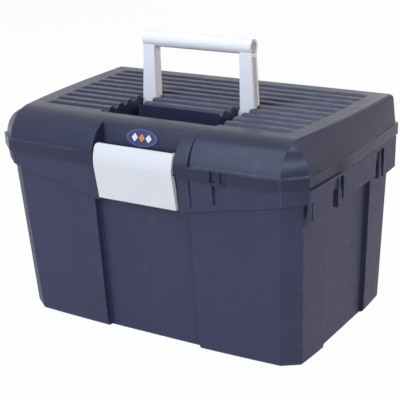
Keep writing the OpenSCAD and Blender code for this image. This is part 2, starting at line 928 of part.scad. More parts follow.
// One arm of the handle, upright from the pivot, on the +X side
module handle_arm() {
    groove_foot = arm_foot_w / 2;
    groove_top = arm_l - grip_d / 2 - groove_wall;
    foot_in = arm_outer_foot - arm_foot_l;
    top_in = arm_outer_top - arm_top_l;
    difference() {
        union() {
            polyhedron(
                points = [
                    [foot_in, -arm_foot_w / 2, 0], [arm_outer_foot, -arm_foot_w / 2, 0],
                    [arm_outer_foot, arm_foot_w / 2, 0], [foot_in, arm_foot_w / 2, 0],
                    [top_in, -arm_top_w / 2, arm_l], [arm_outer_top, -arm_top_w / 2, arm_l],
                    [arm_outer_top, arm_top_w / 2, arm_l], [top_in, arm_top_w / 2, arm_l]
                ],
                faces = [
                    [0, 1, 2, 3], [7, 6, 5, 4],
                    [0, 4, 5, 1], [1, 5, 6, 2], [2, 6, 7, 3], [3, 7, 4, 0]
                ]
            );
            bar(arm_foot_w + 2 * foot_over, arm_foot_l, arm_outer_foot - arm_foot_l / 2, 0, 0);
            bar(
                boss_d, (recess_l - island_l) / 2 - 2 * joint_gap,
                (recess_l + island_l) / 4, 0, 0
            );
        }
        block(
            [arm_outer_foot - arm_groove, -arm_top_w / 2 + groove_wall, groove_foot],
            [arm_outer_foot + overrun, arm_top_w / 2 - groove_wall, groove_top]
        );
        bar(handle_pin_d + 2 * pin_fit, recess_l, (recess_l + island_l) / 4, 0, 0);
    }
}

module carry_handle() {
    color(pale_grey)
        translate([0, pivot_y, pivot_z])
            rotate([-handle_lean, 0, 0])
                difference() {
                    union() {
                        both_ends()
                            handle_arm();
                        bar(grip_d, grip_l, 0, 0, arm_l);
                    }
                    bar(grip_bore_d, grip_l + 2 * overrun, 0, 0, arm_l);
                }
}

// A pivot pin through one foot of the handle, held in the recess walls
module handle_pin(end) {
    color(steel)
        bar(
            handle_pin_d, (recess_l - island_l) / 2 + 2 * tub_wall,
            end * (recess_l + island_l) / 4, pivot_y, pivot_z
        );
}

module handle_pin_left() {
    handle_pin(-1);
}

module handle_pin_right() {
    handle_pin(1);
}

// The line of the latch from its top edge to its bottom edge, moved in by a thickness, with a groove at its crease
function latch_line(thick, groove) =
    let (
        top = [-face_y + latch_top_in + thick, case_h + latch_top_h],
        crease = [-face_y - latch_proud + thick, case_h + latch_crease_h],
        bottom = [-face_y + latch_bottom_in + thick, case_h - latch_bottom_h],
        above_share = 1 - latch_crease_w / 2 / (latch_top_h - latch_crease_h),
        below_share = latch_crease_w / 2 / (latch_crease_h + latch_bottom_h)
    )
    concat(
        [for (s = concat([for (i = [0 : latch_steps - 1]) i / latch_steps], above_share))
            top * (1 - s) + crease * s - [latch_swell * 4 * s * (1 - s), 0]],
        [crease + [groove, 0], crease * (1 - below_share) + bottom * below_share, bottom]
    );

// What the rounding takes off an upper corner of the latch, and the notch at the end of its crease
module latch_end_cuts() {
    corner_x = latch_half - latch_corner_r;
    corner_z = case_h + latch_top_h - latch_corner_r;
    rotate([90, 0, 0])
        linear_extrude(2 * face_y, center = true) {
            difference() {
                translate([corner_x, corner_z])
                    square(latch_corner_r + overrun);
                translate([corner_x, corner_z])
                    circle(r = latch_corner_r, $fn = round_fn);
            }
            translate([latch_half, case_h + latch_crease_h])
                circle(r = latch_notch, $fn = round_fn);
        }
}

module latch_flap() {
    rib_in = latch_t + latch_boss_d / 3;
    color(pale_grey)
        difference() {
            union() {
                along_length(2 * latch_half)
                    polygon(concat(latch_line(0, latch_crease_in), reversed(latch_line(latch_t, 0))));
                both_ends()
                    translate([latch_half - latch_t / 2, 0, 0])
                        along_length(latch_t)
                            polygon(concat(latch_line(0, latch_crease_in), reversed(latch_line(rib_in, 0))));
                both_ends()
                    bar(
                        latch_boss_d, latch_boss_l,
                        latch_half - latch_boss_l / 2, latch_pivot_y, latch_pivot_z
                    );
                along_length(catch_l)
                    polygon([
                        [latch_inner_bottom_y - latch_t, case_h - latch_bottom_h],
                        [latch_lip_y, case_h - latch_bottom_h],
                        [latch_lip_y, case_h - latch_bottom_h + latch_lip_t],
                        [latch_inner_bottom_y - latch_t / 2, case_h - latch_bottom_h + 2 * latch_lip_t]
                    ]);
            }
            both_ends()
                latch_end_cuts();
            bar(latch_pin_d + 2 * pin_fit, channel_l, 0, latch_pivot_y, latch_pivot_z);
        }
}

module latch_pin() {
    color(steel)
        bar(latch_pin_d, channel_l + 2 * channel_wall, 0, latch_pivot_y, latch_pivot_z);
}

module hinge_pin_left() {
    color(steel)
        bar(hinge_pin_d, hinge_l, -hinge_spacing / 2, hinge_y, hinge_z);
}

module hinge_pin_right() {
    color(steel)
        bar(hinge_pin_d, hinge_l, hinge_spacing / 2, hinge_y, hinge_z);
}

// The tray's outline, moved in by a thickness, leaning in towards its floor
tray_inset = wall_in(tray_z) + wall + tray_gap;
tray_half_l = rim_l / 2 - tray_inset;
tray_front = panel_y - wall_lean * (1 - tray_z / case_h) - wall - tray_gap;
tray_back = rim_w / 2 - tray_inset;
function tray_ring(thick, z) =
    let (
        lean = thick + tray_lean * (tray_z - z) / tray_h,
        cut = [wall_corner_l, wall_corner_w] - thick * corner_thin_share * [1, 1]
    )
    outline(tray_half_l - lean, tray_front - lean, tray_back - lean, cut, cut, [0, 0, 0], z, straight_shares);

// The tray: a tub that hangs by its rim
module lift_out_tray() {
    inside = tray_body_in + tray_t;
    color(navy)
        difference() {
            union() {
                loft([tray_ring(tray_body_in, tray_floor_z), tray_ring(tray_body_in, tray_z)]);
                loft([tray_ring(0, tray_z), tray_ring(0, tray_rim_z)]);
            }
            loft([tray_ring(inside, tray_floor_z + tray_t), tray_ring(inside, tray_rim_z + overrun)]);
        }
}

// Places of the cross walls along the tray
tray_cross_shares = [-0.36, 0.36];
// Share of the tray grip's length that its hand slot takes
tray_slot_share = 0.72;

// The insert that stands in the tray: a spine with cross walls and a grip
module tray_dividers() {
    inside = tray_body_in + tray_t + tray_fit;
    low = tray_floor_z + tray_t;
    mid_y = (tray_back - tray_front) / 2;
    grip_z = tray_rim_z + tray_grip_h;
    slot_l = tray_grip_l * tray_slot_share;
    color(navy)
        difference() {
            union() {
                intersection() {
                    loft([tray_ring(inside, low), tray_ring(inside, tray_z)]);
                    union() {
                        block([-tray_half_l, mid_y - tray_t, low], [tray_half_l, mid_y + tray_t, tray_z]);
                        for (share = tray_cross_shares)
                            translate([tray_half_l * share, 0, 0])
                                block([-tray_t / 2, -tray_front, low], [tray_t / 2, tray_back, tray_z]);
                    }
                }
                translate([0, mid_y, 0])
                    rotate([90, 0, 0])
                        linear_extrude(2 * tray_t, center = true)
                            polygon([
                                [-tray_grip_l / 2, tray_z - tray_rim_l],
                                [tray_grip_l / 2, tray_z - tray_rim_l],
                                [tray_grip_l / 2, tray_z],
                                [tray_grip_l / 2 - tray_grip_h / 2, grip_z],
                                [-tray_grip_l / 2 + tray_grip_h / 2, grip_z],
                                [-tray_grip_l / 2, tray_z]
                            ]);
            }
            block(
                [-slot_l / 2, mid_y - 2 * tray_t, grip_z - tray_rim_l - tray_grip_h],
                [slot_l / 2, mid_y + 2 * tray_t, grip_z - tray_rim_l]
            );
        }
}

// Height of the badge on the sunk lid panel
badge_up = 13;
badge_z = panel_foot_z + badge_up;
badge_steps = 48;
module front_badge() {
    color(badge_blue)
        translate([0, -lid_panel_y(badge_z), badge_z])
            rotate([90 - lid_panel_lean, 0, 0])
                linear_extrude(badge_t)
                    polygon([for (i = [0 : badge_steps - 1])
                        let (turn = 360 * i / badge_steps)
                        [badge_l / 2 * cos(turn), badge_h / 2 * sin(turn)]]);
}

case_shell();
lid_shell();
carry_handle();
handle_pin_left();
handle_pin_right();
latch_flap();
latch_pin();
hinge_pin_left();
hinge_pin_right();
lift_out_tray();
tray_dividers();
front_badge();
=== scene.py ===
# %% [markdown]
# # A horse grooming box
# The box is a set of plastic mouldings: a navy case, a ribbed navy lid, a pale grey carry handle, a pale
# grey latch and a tray inside. The frame holds each of them as an exact solid with knife-sharp edges.
# In this lesson we first set up the camera, the stage and the lights. Then we take a copy of each moulding,
# round its edges as a mould does, and give it the surface of the plastic that it is made of.

# %% Load the frame
import math

import bpy
from mathutils import Matrix, Vector
from mathutils.kdtree import KDTree


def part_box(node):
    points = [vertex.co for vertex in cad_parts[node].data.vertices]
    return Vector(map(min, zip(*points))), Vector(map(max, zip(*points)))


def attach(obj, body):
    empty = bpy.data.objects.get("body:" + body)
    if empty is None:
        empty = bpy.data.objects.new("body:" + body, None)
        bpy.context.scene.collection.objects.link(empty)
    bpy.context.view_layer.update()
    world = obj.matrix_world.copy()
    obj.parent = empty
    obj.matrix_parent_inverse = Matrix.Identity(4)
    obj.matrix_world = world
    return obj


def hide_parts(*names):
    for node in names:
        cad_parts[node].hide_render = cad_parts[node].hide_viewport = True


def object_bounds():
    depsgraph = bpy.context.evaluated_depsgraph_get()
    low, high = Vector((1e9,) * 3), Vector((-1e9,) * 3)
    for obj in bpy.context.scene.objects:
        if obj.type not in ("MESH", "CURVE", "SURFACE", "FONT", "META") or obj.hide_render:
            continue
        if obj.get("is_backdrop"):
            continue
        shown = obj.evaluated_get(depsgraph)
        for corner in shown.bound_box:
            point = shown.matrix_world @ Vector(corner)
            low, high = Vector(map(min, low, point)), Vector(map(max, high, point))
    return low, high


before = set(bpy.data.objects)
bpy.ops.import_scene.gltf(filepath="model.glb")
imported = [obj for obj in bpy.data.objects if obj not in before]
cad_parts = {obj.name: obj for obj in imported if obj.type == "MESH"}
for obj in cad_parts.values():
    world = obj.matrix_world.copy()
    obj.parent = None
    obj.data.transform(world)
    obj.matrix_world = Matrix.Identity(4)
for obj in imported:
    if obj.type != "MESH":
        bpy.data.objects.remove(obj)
cad_low, cad_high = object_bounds()
mm = 0.001
print("The frame measures", [round((high - low) / mm, 1) for low, high in zip(cad_low, cad_high)], "mm")

# %% [markdown]
# ## The camera
# The photographer stood to the right of the box and looked down at it from a little above. A camera can be
# dragged into place by hand. We write it as a turn around the box, a height angle, a slight roll and a
# distance to a point inside the box instead, because such numbers can be fitted to the outline of the box
# in the picture. A long lens keeps the edges of the box nearly parallel. The picture is square, so the lens
# and the sensor width alone set what it takes in.

# %% Place the camera
turn = math.radians(33.018)
height_angle = math.radians(19.575)
roll = math.radians(-2.578)
distance = 1.352
aim = Vector((-0.031385, 0.043807, 0.107866))

back = Vector((
    math.sin(turn) * math.cos(height_angle),
    -math.cos(turn) * math.cos(height_angle),
    math.sin(height_angle),
))
level_right = Vector((math.cos(turn), math.sin(turn), 0))
level_up = back.cross(level_right)
right = math.cos(roll) * level_right + math.sin(roll) * level_up
up = back.cross(right)

bpy.ops.object.camera_add()
camera = bpy.context.object
facing = Matrix((right, up, back)).transposed().to_4x4()
camera.matrix_world = Matrix.Translation(aim + distance * back) @ facing
camera.data.sensor_width = 36
camera.data.lens = 100.3
bpy.context.scene.camera = camera
print("The camera stands at", [round(value, 3) for value in camera.matrix_world.translation], "m")

# %% [markdown]
# ## One small function for nodes, one for colours
# Every finish below is a small graph of shader nodes. A single helper adds a node, sets its sockets and links
# what feeds them, so that a material reads like a list. A socket goes by its label, with underscores for
# blanks, or by its number, as in _0. Colours are written as the hex values that a paint program shows, and
# one function turns them into the linear light that Blender works in.

# %% Node and colour helpers
def add_node(tree, kind, settings=None, **sockets):
    """Adds a node with its settings. A socket gets a value, an output, or the first output of a node."""
    node = tree.nodes.new(kind)
    for name, value in (settings or {}).items():
        setattr(node, name, value)
    for name, value in sockets.items():
        plug = node.inputs[int(name[1:])] if name[1:].isdigit() else node.inputs[name.replace("_", " ")]
        feed = value.outputs[0] if isinstance(value, bpy.types.Node) else value
        if isinstance(feed, bpy.types.NodeSocket):
            tree.links.new(feed, plug)
        else:
            plug.default_value = feed
    return node


def linear(hex_colour):
    """The linear colour, with full alpha, of an sRGB hex value."""
    shares = [int(hex_colour[place:place + 2], 16) / 255 for place in (1, 3, 5)]
    light = [share / 12.92 if share <= 0.04045 else ((share + 0.055) / 1.055) ** 2.4 for share in shares]
    return (*light, 1.0)


def new_material(name):
    """An empty material and its node tree."""
    material = bpy.data.materials.new(name)
    material.use_nodes = True
    material.node_tree.nodes.clear()
    return material, material.node_tree


def per_size(size_mm):
    """The scale of a pattern whose features are this many millimetres wide."""
    return 1 / (size_mm * mm)


print("The deep navy of the case in linear light:", [round(value, 4) for value in linear("#2f2e46")])

# %% [markdown]
# ## The stage
# The box stands on a pale floor in a white surround, as in a catalogue picture. A backdrop could be lit until
# it burns out, but then the box would burn out too. So the white comes from what the camera sees and not from
# extra light: the Light Path node tells camera, glossy and transmission rays apart from the rays that light
# the box. The floor is not quite all white, so that it keeps a trace of the shadow.

# %% Floor
def seen_rays(tree):
    """1 for rays that show the surround to the camera, a gloss or a clear piece, 0 for rays that light."""
    path = add_node(tree, "ShaderNodeLightPath")
    direct = add_node(
        tree, "ShaderNodeMath", {"operation": "MAXIMUM"},
        _0=path.outputs["Is Camera Ray"], _1=path.outputs["Is Glossy Ray"],
    )
    return add_node(
        tree, "ShaderNodeMath", {"operation": "MAXIMUM"},
        _0=direct, _1=path.outputs["Is Transmission Ray"],
    )


floor_size = 30.0
floor_whiteness = 0.96
bpy.ops.mesh.primitive_plane_add(size=floor_size)
floor = bpy.context.object
floor.name = "floor"
floor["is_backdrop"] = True

floor_material, tree = new_material("pale_floor")
whitening = add_node(
    tree, "ShaderNodeMath", {"operation": "MULTIPLY"}, _0=seen_rays(tree), _1=floor_whiteness,
)
paper = add_node(tree, "ShaderNodeBsdfDiffuse", Color=linear("#e6e6e6"))
glow = add_node(tree, "ShaderNodeEmission", Color=linear("#ffffff"), Strength=1.0)
mixed = add_node(tree, "ShaderNodeMixShader", _0=whitening, _1=paper, _2=glow)
add_node(tree, "ShaderNodeOutputMaterial", Surface=mixed)
floor.data.materials.append(floor_material)
print("The floor is", floor_size, "m wide")

# %% Surround
scene = bpy.context.scene
world = bpy.data.worlds.new("white_surround")
world.use_nodes = True
scene.world = world
tree = world.node_tree
tree.nodes.clear()
ambient_strength = 0.06
ambient = add_node(tree, "ShaderNodeBackground", Color=linear("#f2f4ff"), Strength=ambient_strength)
white = add_node(tree, "ShaderNodeBackground", Color=linear("#ffffff"), Strength=1.0)
mixed = add_node(tree, "ShaderNodeMixShader", _0=seen_rays(tree), _1=ambient, _2=white)
add_node(tree, "ShaderNodeOutputWorld", Surface=mixed)
scene.view_settings.view_transform = "Standard"
print("The surround lights the box at a level of", ambient_strength)

# %% [markdown]
# ## The lights
# Seven soft boxes, none of them strong. A tall bluish window in front on the left, in an upper and a lower
# half, is there for its reflection: the rounded front of the lid mirrors it on its right half. Both halves
# face straight on, without a turn to the side. The key light stands in front, and one light hangs overhead
# for the ribs. A warm light on the right shows the end of the box, a bluish one the cut corner of the lid,
# and one behind the box lights its back. Point lamps would be simpler, but a sheen on plastic shows the
# shape of the light in it, and a soft box gives it a broad one.

# %% Soft lights
box_middle = (cad_low + cad_high) / 2


def soft_light(name, place, watts, width, height, colour, looks_at=box_middle):
    """A soft box of a width and a height in metres that looks at a point."""
    bpy.ops.object.light_add(type="AREA", location=place)
    lamp = bpy.context.object
    lamp.name = name
    lamp.data.shape = "RECTANGLE"
    lamp.data.size = width
    lamp.data.size_y = height
    lamp.data.energy = watts
    lamp.data.color = linear(colour)[:3]
    lamp.rotation_mode = "QUATERNION"
    lamp.rotation_quaternion = (looks_at - Vector(place)).to_track_quat("-Z", "Y")


straight_on = Vector((-0.87, 0, 0.2))
soft_light("window_upper", (-0.87, -1.35, 1.95), 44, 0.5, 2.6, "#c8e2ff", straight_on)
soft_light("window_lower", (-0.87, -2.25, 0.75), 13, 0.6, 1.0, "#c8e2ff", straight_on)
soft_light("key_light", (-0.1, -2.45, 1.1), 12, 1.1, 1.1, "#ffeae0")
soft_light("over_light", (0.4, 0.4, 2.2), 21, 1.2, 1.2, "#fff0ec")
soft_light("right_light", (1.9, 1.0, 1.1), 14, 1.0, 1.0, "#ffe8de")
soft_light("corner_light", (1.9, -1.4, 1.37), 24, 0.7, 0.7, "#cfe9ff")
soft_light("back_light", (-0.3, 2.6, 0.6), 10, 1.0, 1.0, "#fff0ea")

# %% [markdown]
# ## Moulded polypropylene
# All the mouldings are injection-moulded polypropylene, coloured in the mass: navy for the case, the lid and
# the tray, pale grey for the handle and the latch. The mould's steel is finely sparked, so the surface has a
# fine dry grain and a soft sheen rather than a shine. The colour drifts a little where the melt cooled at
# different speeds. Use leaves rubbed patches, above all along the edges, and a few long scratches.
# A picture of plastic could be laid over the pieces. Noise on Object coordinates needs no picture and no
# unwrapping, and its scale is a real size in millimetres, so one function makes all of these plastics from
# it. The function is told from which level of a slow noise the plastic is rubbed: a high level leaves a few
# patches on the faces, a low one rubs half of an edge.

# %% Moulded plastic
drift_mm = 90
patch_mm = 14
scratch_mm = 40
scratch_slimness = 26
scratch_turn = (0.5, 0.6, 0.35)
grain_mm = 1.2
rub_fade = 0.2
sheen_swing = 0.05


def moulded_plastic(name, colours, rubbed_from, roughness, gloss):
    """Polypropylene in a deep, a pale and a rubbed colour, with mould grain, rubbed patches and scratches."""
    deep, pale, rubbed = [linear(colour) for colour in colours]
    material, tree = new_material(name)
    place = add_node(tree, "ShaderNodeTexCoord").outputs["Object"]
    drift = add_node(
        tree, "ShaderNodeTexNoise", Vector=place, Scale=per_size(drift_mm), Detail=3.0, Roughness=0.55,
    )
    colour = add_node(tree, "ShaderNodeValToRGB", Fac=drift)
    for stop, position, shade in zip(colour.color_ramp.elements, (0.3, 0.7), (deep, pale)):
        stop.position = position
        stop.color = shade

    # Patches that hands and floors have rubbed
    patches = add_node(
        tree, "ShaderNodeTexNoise", Vector=place, Scale=per_size(patch_mm), Detail=5.0, Roughness=0.65,
    )
    rub = add_node(
        tree, "ShaderNodeMapRange", Value=patches,
        From_Min=rubbed_from, From_Max=rubbed_from + rub_fade, To_Min=0.0, To_Max=0.5,
    )
    # Scratches about 1.5 mm wide and 40 mm long, drawn wider than real ones so that they show
    slanted = add_node(
        tree, "ShaderNodeMapping", Vector=place,
        Rotation=scratch_turn, Scale=(1, scratch_slimness, scratch_slimness),
    )
    strokes = add_node(tree, "ShaderNodeTexNoise", Vector=slanted, Scale=per_size(scratch_mm), Detail=1.0)
    scratch = add_node(
        tree, "ShaderNodeMapRange", Value=strokes, From_Min=0.7, From_Max=0.8, To_Min=0.0, To_Max=0.35,
    )
    wear = add_node(tree, "ShaderNodeMath", {"operation": "MAXIMUM"}, _0=rub, _1=scratch)
    worn = add_node(tree, "ShaderNodeMix", {"data_type": "RGBA"}, _0=wear, _6=colour, _7=rubbed)

    sheen = add_node(
        tree, "ShaderNodeMapRange", Value=patches,
        From_Min=0.3, From_Max=0.7, To_Min=roughness + sheen_swing, To_Max=roughness - sheen_swing,
    )
    # Spark grain about 1.2 mm wide, coarser than the real 0.3 mm so that it shows
    grain = add_node(
        tree, "ShaderNodeTexNoise", Vector=place, Scale=per_size(grain_mm), Detail=2.0, Roughness=0.5,
    )
    relief = add_node(tree, "ShaderNodeBump", Height=grain, Strength=0.12, Distance=0.15 * mm)
    plastic = add_node(
        tree, "ShaderNodeBsdfPrincipled", Base_Color=worn.outputs[2],
        Roughness=sheen, IOR=1.49, Specular_IOR_Level=gloss, Normal=relief,
    )
    add_node(tree, "ShaderNodeOutputMaterial", Surface=plastic)
    return material


# %% The plastics of the box
few_patches = 0.62
half_rubbed = 0.46
case_navy = moulded_plastic(
    "navy_polypropylene", ("#2f2e46", "#33324a", "#535267"), few_patches, roughness=0.55, gloss=0.34,
)
# The edge plastic is a little paler than the faces, a painted highlight along the rounded edges, and is
# rubbed from a lower level, which is real wear.
case_edge_wear_and_highlight = moulded_plastic(
    "navy_polypropylene_edge", ("#32314a", "#36354e", "#5c5b71"), half_rubbed, roughness=0.5, gloss=0.34,
)
lid_navy = moulded_plastic(
    "navy_polypropylene_lid", ("#2d2d3f", "#313143", "#4e4e60"), few_patches, roughness=0.32, gloss=0.2,
)
# Paler than the lid's faces, a painted highlight along its rounded edges, and more rubbed.
lid_edge_wear_and_highlight = moulded_plastic(
    "navy_polypropylene_lid_edge", ("#303042", "#343446", "#59596b"), half_rubbed, roughness=0.3, gloss=0.34,
)
# The handle's grey is painted paler and the latch's darker, painted light for the brighter light on the
# handle.
handle_grey_with_painted_light = moulded_plastic(
    "grey_polypropylene_handle", ("#ebe4df", "#eee7e3", "#dcd6d2"), few_patches, roughness=0.42, gloss=0.32,
)
latch_grey_with_painted_shade = moulded_plastic(
    "grey_polypropylene_latch", ("#d8d2cc", "#dcd6d0", "#cac5c0"), few_patches, roughness=0.42, gloss=0.3,
)
print("Plastics:", case_navy.name, lid_navy.name, handle_grey_with_painted_light.name, latch_grey_with_painted_shade.name)

# %% [markdown]
# ## Copies of the solids
# An injection mould has no knife-sharp edge. The mouldings could be modelled anew with soft edges, but the
# frame already holds their exact form, so a copy of each solid is the surest start. We merge the doubled
# points of a copy and join its flat triangles into whole faces, ready for a Bevel modifier.

# %% Picking and copying
merge_distance = 0.05 * mm
flat_angle = math.radians(0.2)


def only(piece):
    """Makes one object the only selected one, and the active one."""
    bpy.ops.object.select_all(action="DESELECT")
    piece.select_set(True)
    bpy.context.view_layer.objects.active = piece


def copy_of(node_name, piece_name):
    """A copy of a solid with merged points and whole flat faces."""
    piece = bpy.data.objects.new(piece_name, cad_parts[node_name].data.copy())
    scene.collection.objects.link(piece)
    piece.data.materials.clear()
    only(piece)
    bpy.ops.object.mode_set(mode="EDIT")
    bpy.ops.mesh.select_all(action="SELECT")
    bpy.ops.mesh.customdata_custom_splitnormals_clear()
    bpy.ops.mesh.remove_doubles(threshold=merge_distance)
    bpy.ops.mesh.dissolve_limited(angle_limit=flat_angle)
    bpy.ops.object.mode_set(mode="OBJECT")
    return piece


print("Solids in the frame:", len(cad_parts))

# %% [markdown]
# ## Room for a rounding
# A bevel that is wider than the face beside it folds over. The Bevel modifier can clamp its width, but it
# then holds every edge to the tightest spot. So each edge gets a weight of its own instead, from the room
# that it has: the least width of the faces beside it and the length of the edges that cross its ends.

# %% Room beside an edge
cross_sine = 0.5


def edge_rooms(mesh):
    """For each edge, the least width of the faces beside it and of the cross edges at its ends."""
    points = [point.co for point in mesh.vertices]
    ends = [tuple(edge.vertices) for edge in mesh.edges]
    rooms = [math.inf] * len(ends)
    edge_at = {edge.key: edge.index for edge in mesh.edges}
    at_point = [[] for point in points]
    for index, (first, second) in enumerate(ends):
        at_point[first].append(index)
        at_point[second].append(index)
    for face in mesh.polygons:
        for key in face.edge_keys:
            index = edge_at[key]
            start = points[key[0]]
            along = (points[key[1]] - start).normalized()
            width = max(along.cross(points[corner] - start).length for corner in face.vertices)
            rooms[index] = min(rooms[index], width)
    for index, (first, second) in enumerate(ends):
        along = (points[second] - points[first]).normalized()
        for corner in (first, second):
            for other in at_point[corner]:
                cross = points[ends[other][1]] - points[ends[other][0]]
                if other != index and along.cross(cross.normalized()).length > cross_sine:
                    rooms[index] = min(rooms[index], cross.length)
    return rooms


print("An edge counts as crossing from", round(math.degrees(math.asin(cross_sine))), "degrees on")

# %% [markdown]
# ## Mending folds
# Where many edges meet, a rounding can still fold over. A folded face gives itself away: its triangles
# together cover more than its own area. They could be hunted by eye, but the inside of a lid is easily
# missed, so we measure. We look at the rounded shape, shrink the weights near folded faces and look again,
# for a few rounds at most. Folds that cover too little to matter are let be.

# %% Folds
least_fold = 30 * mm * mm
mending_rounds = 8
mending_share = 0.4


def folded_corners(mesh):
    """The corners of folded faces, whose triangles cover more than the face by over the least fold."""
    mesh.calc_loop_triangles()
    covered = [0.0] * len(mesh.polygons)
    for triangle in mesh.loop_triangles:
        covered[triangle.polygon_index] += triangle.area
    folded = [face for face in mesh.polygons if covered[face.index] > face.area + least_fold]
    return [mesh.vertices[corner].co.copy() for face in folded for corner in face.vertices]


def shrink_folds(piece, weights, reach):
    """Shrinks the rounding of edges within reach of folded faces, and gives the number of rounds it took."""
    for attempt in range(mending_rounds):
        bpy.context.view_layer.update()
        preview = piece.evaluated_get(bpy.context.evaluated_depsgraph_get())
        corners = folded_corners(preview.to_mesh())
        preview.to_mesh_clear()
        if not corners:
            return attempt
        places = KDTree(len(corners))
        for index, corner in enumerate(corners):
            places.insert(corner, index)
        places.balance()
        for edge in piece.data.edges:
            gaps = [places.find(piece.data.vertices[corner].co)[2] for corner in edge.vertices]
            if max(gaps) < reach:
                weights.data[edge.index].value *= mending_share
        piece.data.update()
    return mending_rounds


print("Folds are mended in", mending_rounds, "rounds at most")

# %% [markdown]
# ## Rounding and dressing
# The modifier bevels each edge by the share of its full width that the weight says, and gives the new faces
# the second material, the one of rubbed edges; on the navy pieces it is also a little paler, a painted
# highlight along the edges. Smooth shading would then bend the light on the large flat faces too, so a
# Weighted Normal modifier lets the largest face at a corner decide. A finished piece rides on the body it
# moves with, in place of its solid.

# %% Rounding
sharp_angle = math.radians(35)
smooth_angle = math.radians(26)
room_share = 0.42
full_width_radii = 3.0
mending_reach_radii = 3.0


def round_edges(piece, radius, wider=None):
    """Rounds the sharp edges of a piece. wider(middle, along, outward) gives a multiple of the radius."""
    only(piece)
    bpy.ops.object.mode_set(mode="EDIT")
    bpy.ops.mesh.select_mode(type="EDGE")
    bpy.ops.mesh.select_all(action="DESELECT")
    bpy.ops.mesh.edges_select_sharp(sharpness=sharp_angle)
    bpy.ops.object.mode_set(mode="OBJECT")
    mesh = piece.data
    rooms = edge_rooms(mesh)
    full_width = full_width_radii * radius
    weights = mesh.attributes.new("bevel_weight_edge", "FLOAT", "EDGE")
    for edge in mesh.edges:
        if edge.select:
            ends = [mesh.vertices[corner] for corner in edge.vertices]
            middle = (ends[0].co + ends[1].co) / 2
            along = (ends[1].co - ends[0].co).normalized()
            outward = (ends[0].normal + ends[1].normal) / 2
            times = wider(middle, along, outward) if wider else 1.0
            wanted = min(times * radius, room_share * rooms[edge.index])
            weights.data[edge.index].value = wanted / full_width
    rounding = piece.modifiers.new("rounding", "BEVEL")
    rounding.limit_method = "WEIGHT"
    rounding.width = full_width
    rounding.segments = 3
    rounding.use_clamp_overlap = False
    rounding.material = 1
    rounds = shrink_folds(piece, weights, mending_reach_radii * radius)
    bpy.ops.object.modifier_apply(modifier="rounding")
    bpy.ops.object.shade_smooth_by_angle(angle=smooth_angle)
    flat_faces = piece.modifiers.new("flat_faces", "WEIGHTED_NORMAL")
    flat_faces.keep_sharp = True
    bpy.ops.object.modifier_apply(modifier="flat_faces")
    print(piece.name, "has", len(mesh.polygons), "faces after", rounds, "rounds of mending")


print("Edges of more than", round(math.degrees(sharp_angle)), "degrees are rounded")

# %% Dressing
def dress(piece, body, nodes, slot, *materials):
    """Rides a piece on its body in place of the nodes that it stands for."""
    for material in materials:
        piece.data.materials.append(material)
    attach(piece, body)
    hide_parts(*nodes)


# %% [markdown]
# ## The case
# A thin-walled tub with sunk panels between its feet, a rim band that deepens towards the latch, and slotted
# skirts on its ends. It could be extruded panel by panel, but its solid has every step of the wall already,
# so we keep the exact form and only round it like a moulding.

# %% Case
case = copy_of("case_shell", "case_moulding")
dress(case, "case", ["case_shell"], "navy_plastic", case_navy, case_edge_wear_and_highlight)
round_edges(case, 0.7 * mm)

# %% [markdown]
# ## The lid
# The ribs on the lid are softer than its other edges, so edges that run along them get twice the radius. The
# creases beside the cut corners of the dome fade out towards the top, where a rounding would end in a dent,
# so they stay crisp. The lug beside the latch and the underside of the top, with its comb of webs under the
# ribs, are so thin that a rounding would fold over on them, so they stay crisp too. One rounding for all
# edges would be simpler, but it would spoil these places.

# %% Where the lid is softer or crisp
lid_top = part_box("lid_shell")[1].z
rib_height = 4.0 * mm
rib_zone = 1.2 * rib_height
lug_middle = 103.7 * mm
lug_room = 13.0 * mm
flange_top = 214.0 * mm
corner_from = 150.0 * mm
along_ribs = 0.9
rising = 0.2
facing_down = -0.3


def lid_radius(middle, along, outward):
    """Twice the radius on the long edges of the ribs, and none on the lug, the creases and the underside."""
    on_ribs = middle.z > lid_top - rib_zone and abs(along.x) > along_ribs
    at_lug = abs(middle.x - lug_middle) < lug_room and middle.y < 0 and middle.z < flange_top
    on_crease = abs(middle.x) > corner_from and abs(along.z) > rising and middle.z > flange_top
    under_top = outward.z < facing_down and middle.z > flange_top
    if at_lug or on_crease or under_top:
        return 0.0
    return 2.0 if on_ribs else 1.0


print("The ribs end at", round(lid_top / mm, 1), "mm")

# %% Lid
lid = copy_of("lid_shell", "lid_moulding")
dress(lid, "lid", ["lid_shell"], "navy_plastic", lid_navy, lid_edge_wear_and_highlight)
round_edges(lid, 0.8 * mm, lid_radius)

# %% [markdown]
# ## Handle, latch and tray
# The handle and the latch are pale grey mouldings of the same kind of plastic, and their rubbed edges don't
# stand out, so one grey serves for faces and edges. The handle's grey is a little paler than the latch's:
# painted light, since more light falls on the handle. The tray inside is navy like the case, with its
# dividers as a second moulding. All four are copied and rounded like the case, so that the whole box looks as
# if it came from one mould maker.

# %% Handle
handle = copy_of("carry_handle", "handle_moulding")
dress(handle, "handle", ["carry_handle"], "grey_plastic", handle_grey_with_painted_light, handle_grey_with_painted_light)
round_edges(handle, 1.0 * mm)

# %% Latch
latch = copy_of("latch_flap", "latch_moulding")
dress(latch, "latch", ["latch_flap"], "grey_plastic", latch_grey_with_painted_shade, latch_grey_with_painted_shade)
round_edges(latch, 0.7 * mm)

# %% Tray
tray = copy_of("lift_out_tray", "tray_moulding")
dress(tray, "tray", ["lift_out_tray"], "navy_plastic", case_navy, case_edge_wear_and_highlight)
round_edges(tray, 0.8 * mm)
dividers = copy_of("tray_dividers", "divider_moulding")
dress(dividers, "tray", ["tray_dividers"], "navy_plastic", case_navy, case_edge_wear_and_highlight)
round_edges(dividers, 0.8 * mm)

